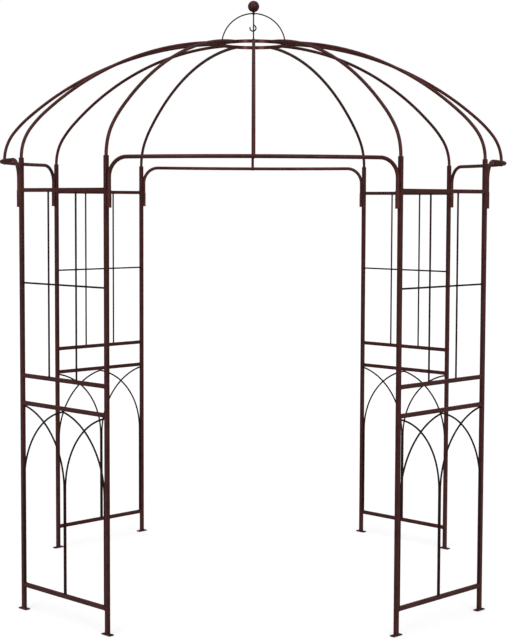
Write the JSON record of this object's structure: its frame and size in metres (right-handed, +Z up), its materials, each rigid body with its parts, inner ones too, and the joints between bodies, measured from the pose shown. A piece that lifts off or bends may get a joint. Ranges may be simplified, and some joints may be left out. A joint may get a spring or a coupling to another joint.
{
  "type": "garden pavilion",
  "caption": "Round garden pavilion of painted steel tube for climbing roses: open doorways under bowed lintels, trellis panels between, ribs rising to a crown ring with hoops, ball and hook.",
  "frame": {"origin": "on the ground, under the middle of the dome", "axes": "+Z up; -Y is the front doorway, +X the right doorway"},
  "size_m": [2.3522, 2.3522, 2.725],
  "materials": {
    "tube_paint": "semi-gloss bronze brown powder coat",
    "rod_paint": "semi-gloss dark bronze brown powder coat",
    "screw_paint": "painted pan heads",
    "inner_steel": "bright zinc, hidden inside the tubes"
  },
  "bodies": {
    "root": {"lower_post_1": "tube_paint", "lower_post_2": "tube_paint", "lower_post_3": "tube_paint", "lower_post_4": "tube_paint", "lower_post_5": "tube_paint", "lower_post_6": "tube_paint", "lower_post_7": "tube_paint", "lower_post_8": "tube_paint", "upper_post_1": "tube_paint", "upper_post_2": "tube_paint", "upper_post_3": "tube_paint", "upper_post_4": "tube_paint", "upper_post_5": "tube_paint", "upper_post_6": "tube_paint", "upper_post_7": "tube_paint", "upper_post_8": "tube_paint", "post_rib_1": "tube_paint", "post_rib_2": "tube_paint", "post_rib_3": "tube_paint", "post_rib_4": "tube_paint", "post_rib_5": "tube_paint", "post_rib_6": "tube_paint", "post_rib_7": "tube_paint", "post_rib_8": "tube_paint", "lower_rails_front_left": "tube_paint", "lower_rails_front_right": "tube_paint", "lower_rails_back_right": "tube_paint", "lower_rails_back_left": "tube_paint", "upper_rails_front_left": "tube_paint", "upper_rails_front_right": "tube_paint", "upper_rails_back_right": "tube_paint", "upper_rails_back_left": "tube_paint", "arch_rods_front_left": "rod_paint", "arch_rods_front_right": "rod_paint", "arch_rods_back_right": "rod_paint", "arch_rods_back_left": "rod_paint", "trellis_rods_front_left": "rod_paint", "trellis_rods_front_right": "rod_paint", "trellis_rods_back_right": "rod_paint", "trellis_rods_back_left": "rod_paint", "lintel_front": "tube_paint", "lintel_right": "tube_paint", "lintel_back": "tube_paint", "lintel_left": "tube_paint", "door_rib_front": "tube_paint", "door_rib_right": "tube_paint", "door_rib_back": "tube_paint", "door_rib_left": "tube_paint", "foot_plates": "tube_paint", "post_couplers": "inner_steel", "lintel_sockets": "tube_paint", "door_rib_plugs": "inner_steel", "crown_ring": "tube_paint", "crown_spigots": "inner_steel", "crown_hoops": "rod_paint", "ball_finial": "tube_paint", "hanging_hook": "rod_paint", "frame_screws": "screw_paint", "lintel_screws": "screw_paint"}
  },
  "joints": []
}
